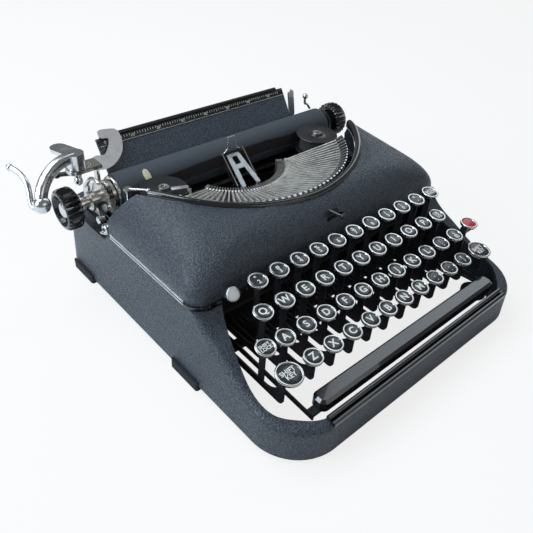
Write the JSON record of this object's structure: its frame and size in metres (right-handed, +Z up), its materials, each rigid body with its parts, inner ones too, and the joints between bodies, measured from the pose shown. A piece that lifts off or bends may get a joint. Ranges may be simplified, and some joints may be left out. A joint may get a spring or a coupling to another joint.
{
  "type": "portable typewriter",
  "caption": "Portable four-bank type-bar typewriter with round ringed keys, curved cover over the type basket, and a sliding platen carriage",
  "frame": {"origin": "centre of the machine's box on the table", "axes": "+X the typist's right, +Y to the back, +Z up"},
  "size_m": [0.3268, 0.298, 0.1162],
  "materials": {
    "casing_enamel": "crinkle enamel",
    "foot_rubber": "matt",
    "black_steel": "satin black",
    "bright_steel": "satin nickel",
    "gloss_black": "polished",
    "key_nickel": "polished nickel",
    "platen_rubber": "matt"
  },
  "bodies": {
    "frame": {"base_frame": "casing_enamel", "rubber_feet": "foot_rubber", "top_cover": "casing_enamel", "inner_frame": "black_steel", "type_basket": "bright_steel"},
    "key_2": {"key_2": "key_nickel"},
    "key_3": {"key_3": "key_nickel"},
    "key_4": {"key_4": "key_nickel"},
    "key_5": {"key_5": "key_nickel"},
    "key_6": {"key_6": "key_nickel"},
    "key_7": {"key_7": "key_nickel"},
    "key_8": {"key_8": "key_nickel"},
    "key_9": {"key_9": "key_nickel"},
    "key_0": {"key_0": "key_nickel"},
    "key_hyphen": {"key_hyphen": "key_nickel"},
    "key_q": {"key_q": "key_nickel"},
    "key_w": {"key_w": "key_nickel"},
    "key_e": {"key_e": "key_nickel"},
    "key_r": {"key_r": "key_nickel"},
    "key_t": {"key_t": "key_nickel"},
    "key_y": {"key_y": "key_nickel"},
    "key_u": {"key_u": "key_nickel"},
    "key_i": {"key_i": "key_nickel"},
    "key_o": {"key_o": "key_nickel"},
    "key_p": {"key_p": "key_nickel"},
    "key_half": {"key_half": "key_nickel"},
    "key_a": {"key_a": "key_nickel"},
    "key_s": {"key_s": "key_nickel"},
    "key_d": {"key_d": "key_nickel"},
    "key_f": {"key_f": "key_nickel"},
    "key_g": {"key_g": "key_nickel"},
    "key_h": {"key_h": "key_nickel"},
    "key_j": {"key_j": "key_nickel"},
    "key_k": {"key_k": "key_nickel"},
    "key_l": {"key_l": "key_nickel"},
    "key_semicolon": {"key_semicolon": "key_nickel"},
    "key_at": {"key_at": "key_nickel"},
    "key_z": {"key_z": "key_nickel"},
    "key_x": {"key_x": "key_nickel"},
    "key_c": {"key_c": "key_nickel"},
    "key_v": {"key_v": "key_nickel"},
    "key_b": {"key_b": "key_nickel"},
    "key_n": {"key_n": "key_nickel"},
    "key_m": {"key_m": "key_nickel"},
    "key_comma": {"key_comma": "key_nickel"},
    "key_period": {"key_period": "key_nickel"},
    "key_slash": {"key_slash": "key_nickel"},
    "type_bar_h": {"moving_typebar": "bright_steel"},
    "ribbon_fork": {"ribbon_carrier": "bright_steel"},
    "space_bar": {"space_bar": "gloss_black"},
    "backspace_key": {"backspace_key": "key_nickel"},
    "margin_release_key": {"margin_release_key": "key_nickel"},
    "shift_yoke": {"shift_keys": "key_nickel"},
    "shift_frame": {"shift_rails": "black_steel"},
    "carriage": {"carriage_frame": "bright_steel", "paper_table": "casing_enamel"},
    "platen_roller": {"platen": "platen_rubber"},
    "line_lever": {"return_lever": "bright_steel"},
    "left_reel": {"left_spool": "black_steel"},
    "right_reel": {"right_spool": "black_steel"}
  },
  "joints": [
    {"name": "key_2_press", "type": "hinge", "parent": "frame", "child": "key_2", "pos_m": [0.0104, 0.101, 0.036], "axis": [1, 0, 0], "range_deg": [0, 3.57], "stiffness_Nm_per_rad": 0.4, "springref_deg": -5.73},
    {"name": "key_3_press", "type": "hinge", "parent": "frame", "child": "key_3", "pos_m": [0.0104, 0.101, 0.036], "axis": [1, 0, 0], "range_deg": [0, 3.57], "stiffness_Nm_per_rad": 0.4, "springref_deg": -5.73},
    {"name": "key_4_press", "type": "hinge", "parent": "frame", "child": "key_4", "pos_m": [0.0104, 0.101, 0.036], "axis": [1, 0, 0], "range_deg": [0, 3.57], "stiffness_Nm_per_rad": 0.4, "springref_deg": -5.73},
    {"name": "key_5_press", "type": "hinge", "parent": "frame", "child": "key_5", "pos_m": [0.0104, 0.101, 0.036], "axis": [1, 0, 0], "range_deg": [0, 3.57], "stiffness_Nm_per_rad": 0.4, "springref_deg": -5.73},
    {"name": "key_6_press", "type": "hinge", "parent": "frame", "child": "key_6", "pos_m": [0.0104, 0.101, 0.036], "axis": [1, 0, 0], "range_deg": [0, 3.57], "stiffness_Nm_per_rad": 0.4, "springref_deg": -5.73},
    {"name": "key_7_press", "type": "hinge", "parent": "frame", "child": "key_7", "pos_m": [0.0104, 0.101, 0.036], "axis": [1, 0, 0], "range_deg": [0, 3.57], "stiffness_Nm_per_rad": 0.4, "springref_deg": -5.73},
    {"name": "key_8_press", "type": "hinge", "parent": "frame", "child": "key_8", "pos_m": [0.0104, 0.101, 0.036], "axis": [1, 0, 0], "range_deg": [0, 3.57], "stiffness_Nm_per_rad": 0.4, "springref_deg": -5.73},
    {"name": "key_9_press", "type": "hinge", "parent": "frame", "child": "key_9", "pos_m": [0.0104, 0.101, 0.036], "axis": [1, 0, 0], "range_deg": [0, 3.57], "stiffness_Nm_per_rad": 0.4, "springref_deg": -5.73},
    {"name": "key_0_press", "type": "hinge", "parent": "frame", "child": "key_0", "pos_m": [0.0104, 0.101, 0.036], "axis": [1, 0, 0], "range_deg": [0, 3.57], "stiffness_Nm_per_rad": 0.4, "springref_deg": -5.73},
    {"name": "key_hyphen_press", "type": "hinge", "parent": "frame", "child": "key_hyphen", "pos_m": [0.0104, 0.101, 0.036], "axis": [1, 0, 0], "range_deg": [0, 3.57], "stiffness_Nm_per_rad": 0.4, "springref_deg": -5.73},
    {"name": "key_q_press", "type": "hinge", "parent": "frame", "child": "key_q", "pos_m": [0.0104, 0.101, 0.036], "axis": [1, 0, 0], "range_deg": [0, 3.23], "stiffness_Nm_per_rad": 0.4, "springref_deg": -5.73},
    {"name": "key_w_press", "type": "hinge", "parent": "frame", "child": "key_w", "pos_m": [0.0104, 0.101, 0.036], "axis": [1, 0, 0], "range_deg": [0, 3.23], "stiffness_Nm_per_rad": 0.4, "springref_deg": -5.73},
    {"name": "key_e_press", "type": "hinge", "parent": "frame", "child": "key_e", "pos_m": [0.0104, 0.101, 0.036], "axis": [1, 0, 0], "range_deg": [0, 3.23], "stiffness_Nm_per_rad": 0.4, "springref_deg": -5.73},
    {"name": "key_r_press", "type": "hinge", "parent": "frame", "child": "key_r", "pos_m": [0.0104, 0.101, 0.036], "axis": [1, 0, 0], "range_deg": [0, 3.23], "stiffness_Nm_per_rad": 0.4, "springref_deg": -5.73},
    {"name": "key_t_press", "type": "hinge", "parent": "frame", "child": "key_t", "pos_m": [0.0104, 0.101, 0.036], "axis": [1, 0, 0], "range_deg": [0, 3.23], "stiffness_Nm_per_rad": 0.4, "springref_deg": -5.73},
    {"name": "key_y_press", "type": "hinge", "parent": "frame", "child": "key_y", "pos_m": [0.0104, 0.101, 0.036], "axis": [1, 0, 0], "range_deg": [0, 3.23], "stiffness_Nm_per_rad": 0.4, "springref_deg": -5.73},
    {"name": "key_u_press", "type": "hinge", "parent": "frame", "child": "key_u", "pos_m": [0.0104, 0.101, 0.036], "axis": [1, 0, 0], "range_deg": [0, 3.23], "stiffness_Nm_per_rad": 0.4, "springref_deg": -5.73},
    {"name": "key_i_press", "type": "hinge", "parent": "frame", "child": "key_i", "pos_m": [0.0104, 0.101, 0.036], "axis": [1, 0, 0], "range_deg": [0, 3.23], "stiffness_Nm_per_rad": 0.4, "springref_deg": -5.73},
    {"name": "key_o_press", "type": "hinge", "parent": "frame", "child": "key_o", "pos_m": [0.0104, 0.101, 0.036], "axis": [1, 0, 0], "range_deg": [0, 3.23], "stiffness_Nm_per_rad": 0.4, "springref_deg": -5.73},
    {"name": "key_p_press", "type": "hinge", "parent": "frame", "child": "key_p", "pos_m": [0.0104, 0.101, 0.036], "axis": [1, 0, 0], "range_deg": [0, 3.23], "stiffness_Nm_per_rad": 0.4, "springref_deg": -5.73},
    {"name": "key_half_press", "type": "hinge", "parent": "frame", "child": "key_half", "pos_m": [0.0104, 0.101, 0.036], "axis": [1, 0, 0], "range_deg": [0, 3.23], "stiffness_Nm_per_rad": 0.4, "springref_deg": -5.73},
    {"name": "key_a_press", "type": "hinge", "parent": "frame", "child": "key_a", "pos_m": [0.0104, 0.101, 0.036], "axis": [1, 0, 0], "range_deg": [0, 2.94], "stiffness_Nm_per_rad": 0.4, "springref_deg": -5.73},
    {"name": "key_s_press", "type": "hinge", "parent": "frame", "child": "key_s", "pos_m": [0.0104, 0.101, 0.036], "axis": [1, 0, 0], "range_deg": [0, 2.94], "stiffness_Nm_per_rad": 0.4, "springref_deg": -5.73},
    {"name": "key_d_press", "type": "hinge", "parent": "frame", "child": "key_d", "pos_m": [0.0104, 0.101, 0.036], "axis": [1, 0, 0], "range_deg": [0, 2.94], "stiffness_Nm_per_rad": 0.4, "springref_deg": -5.73},
    {"name": "key_f_press", "type": "hinge", "parent": "frame", "child": "key_f", "pos_m": [0.0104, 0.101, 0.036], "axis": [1, 0, 0], "range_deg": [0, 2.94], "stiffness_Nm_per_rad": 0.4, "springref_deg": -5.73},
    {"name": "key_g_press", "type": "hinge", "parent": "frame", "child": "key_g", "pos_m": [0.0104, 0.101, 0.036], "axis": [1, 0, 0], "range_deg": [0, 2.94], "stiffness_Nm_per_rad": 0.4, "springref_deg": -5.73},
    {"name": "key_j_press", "type": "hinge", "parent": "frame", "child": "key_j", "pos_m": [0.0104, 0.101, 0.036], "axis": [1, 0, 0], "range_deg": [0, 2.94], "stiffness_Nm_per_rad": 0.4, "springref_deg": -5.73},
    {"name": "key_k_press", "type": "hinge", "parent": "frame", "child": "key_k", "pos_m": [0.0104, 0.101, 0.036], "axis": [1, 0, 0], "range_deg": [0, 2.94], "stiffness_Nm_per_rad": 0.4, "springref_deg": -5.73},
    {"name": "key_l_press", "type": "hinge", "parent": "frame", "child": "key_l", "pos_m": [0.0104, 0.101, 0.036], "axis": [1, 0, 0], "range_deg": [0, 2.94], "stiffness_Nm_per_rad": 0.4, "springref_deg": -5.73},
    {"name": "key_semicolon_press", "type": "hinge", "parent": "frame", "child": "key_semicolon", "pos_m": [0.0104, 0.101, 0.036], "axis": [1, 0, 0], "range_deg": [0, 2.94], "stiffness_Nm_per_rad": 0.4, "springref_deg": -5.73},
    {"name": "key_at_press", "type": "hinge", "parent": "frame", "child": "key_at", "pos_m": [0.0104, 0.101, 0.036], "axis": [1, 0, 0], "range_deg": [0, 2.94], "stiffness_Nm_per_rad": 0.4, "springref_deg": -5.73},
    {"name": "key_z_press", "type": "hinge", "parent": "frame", "child": "key_z", "pos_m": [0.0104, 0.101, 0.036], "axis": [1, 0, 0], "range_deg": [0, 2.7], "stiffness_Nm_per_rad": 0.4, "springref_deg": -5.73},
    {"name": "key_x_press", "type": "hinge", "parent": "frame", "child": "key_x", "pos_m": [0.0104, 0.101, 0.036], "axis": [1, 0, 0], "range_deg": [0, 2.7], "stiffness_Nm_per_rad": 0.4, "springref_deg": -5.73},
    {"name": "key_c_press", "type": "hinge", "parent": "frame", "child": "key_c", "pos_m": [0.0104, 0.101, 0.036], "axis": [1, 0, 0], "range_deg": [0, 2.7], "stiffness_Nm_per_rad": 0.4, "springref_deg": -5.73},
    {"name": "key_v_press", "type": "hinge", "parent": "frame", "child": "key_v", "pos_m": [0.0104, 0.101, 0.036], "axis": [1, 0, 0], "range_deg": [0, 2.7], "stiffness_Nm_per_rad": 0.4, "springref_deg": -5.73},
    {"name": "key_b_press", "type": "hinge", "parent": "frame", "child": "key_b", "pos_m": [0.0104, 0.101, 0.036], "axis": [1, 0, 0], "range_deg": [0, 2.7], "stiffness_Nm_per_rad": 0.4, "springref_deg": -5.73},
    {"name": "key_n_press", "type": "hinge", "parent": "frame", "child": "key_n", "pos_m": [0.0104, 0.101, 0.036], "axis": [1, 0, 0], "range_deg": [0, 2.7], "stiffness_Nm_per_rad": 0.4, "springref_deg": -5.73},
    {"name": "key_m_press", "type": "hinge", "parent": "frame", "child": "key_m", "pos_m": [0.0104, 0.101, 0.036], "axis": [1, 0, 0], "range_deg": [0, 2.7], "stiffness_Nm_per_rad": 0.4, "springref_deg": -5.73},
    {"name": "key_comma_press", "type": "hinge", "parent": "frame", "child": "key_comma", "pos_m": [0.0104, 0.101, 0.036], "axis": [1, 0, 0], "range_deg": [0, 2.7], "stiffness_Nm_per_rad": 0.4, "springref_deg": -5.73},
    {"name": "key_period_press", "type": "hinge", "parent": "frame", "child": "key_period", "pos_m": [0.0104, 0.101, 0.036], "axis": [1, 0, 0], "range_deg": [0, 2.7], "stiffness_Nm_per_rad": 0.4, "springref_deg": -5.73},
    {"name": "key_slash_press", "type": "hinge", "parent": "frame", "child": "key_slash", "pos_m": [0.0104, 0.101, 0.036], "axis": [1, 0, 0], "range_deg": [0, 2.7], "stiffness_Nm_per_rad": 0.4, "springref_deg": -5.73},
    {"name": "type_bar_swing", "type": "hinge", "parent": "frame", "child": "type_bar_h", "pos_m": [0.01174, 0.03062, 0.0653], "axis": [-0.9997, -0.0255, 0], "range_deg": [0, 112], "stiffness_Nm_per_rad": 0.002, "springref_deg": -28.65},
    {"name": "key_h_press", "type": "hinge", "parent": "frame", "child": "key_h", "pos_m": [0.0104, 0.101, 0.036], "axis": [1, 0, 0], "range_deg": [0, 2.94], "stiffness_Nm_per_rad": 0.4, "springref_deg": -5.73},
    {"name": "ribbon_lift", "type": "slide", "parent": "frame", "child": "ribbon_fork", "axis": [0, 0, 1], "range_m": [0, 0.006]},
    {"name": "space_bar_press", "type": "hinge", "parent": "frame", "child": "space_bar", "pos_m": [0.0104, 0.101, 0.036], "axis": [1, 0, 0], "range_deg": [0, 1.73], "stiffness_Nm_per_rad": 0.8, "springref_deg": -8.59},
    {"name": "backspace_key_press", "type": "hinge", "parent": "frame", "child": "backspace_key", "pos_m": [0.0104, 0.101, 0.036], "axis": [1, 0, 0], "range_deg": [0, 3.57], "stiffness_Nm_per_rad": 0.4, "springref_deg": -8.59},
    {"name": "margin_release_key_press", "type": "hinge", "parent": "frame", "child": "margin_release_key", "pos_m": [0.0104, 0.101, 0.036], "axis": [1, 0, 0], "range_deg": [0, 2.94], "stiffness_Nm_per_rad": 0.4, "springref_deg": -8.59},
    {"name": "shift_lift", "type": "slide", "parent": "frame", "child": "shift_frame", "axis": [0, 0.5, 0.866], "range_m": [0, 0.006]},
    {"name": "shift_press", "type": "hinge", "parent": "frame", "child": "shift_yoke", "pos_m": [0.0104, 0.101, 0.036], "axis": [1, 0, 0], "range_deg": [0, 2.69], "stiffness_Nm_per_rad": 0.8, "springref_deg": -8.59},
    {"name": "carriage_travel", "type": "slide", "parent": "shift_frame", "child": "carriage", "axis": [-1, 0, 0], "range_m": [-0.092, 0.092]},
    {"name": "platen_turn", "type": "hinge", "parent": "carriage", "child": "platen_roller", "pos_m": [0.0104, 0.098, 0.079], "axis": [1, 0, 0], "continuous": true},
    {"name": "return_lever_throw", "type": "hinge", "parent": "carriage", "child": "line_lever", "pos_m": [-0.1176, 0.113, 0.1], "axis": [0, 0, 1], "range_deg": [0, 10], "stiffness_Nm_per_rad": 0.3, "springref_deg": -5.73},
    {"name": "left_spool_turn", "type": "hinge", "parent": "frame", "child": "left_reel", "pos_m": [-0.0736, 0.06, 0.094], "axis": [0, 0, 1], "continuous": true},
    {"name": "right_spool_turn", "type": "hinge", "parent": "frame", "child": "right_reel", "pos_m": [0.0944, 0.06, 0.094], "axis": [0, 0, 1], "continuous": true}
  ],
  "couplings": [
    {"joint": "key_h_press", "follows": "type_bar_swing", "ratio": 0.02622},
    {"joint": "ribbon_lift", "follows": "type_bar_swing", "m_per_rad": 0.003066},
    {"joint": "shift_press", "follows": "shift_lift", "rad_per_m": 7.8171},
    {"joint": "right_spool_turn", "follows": "left_spool_turn", "ratio": 1}
  ]
}
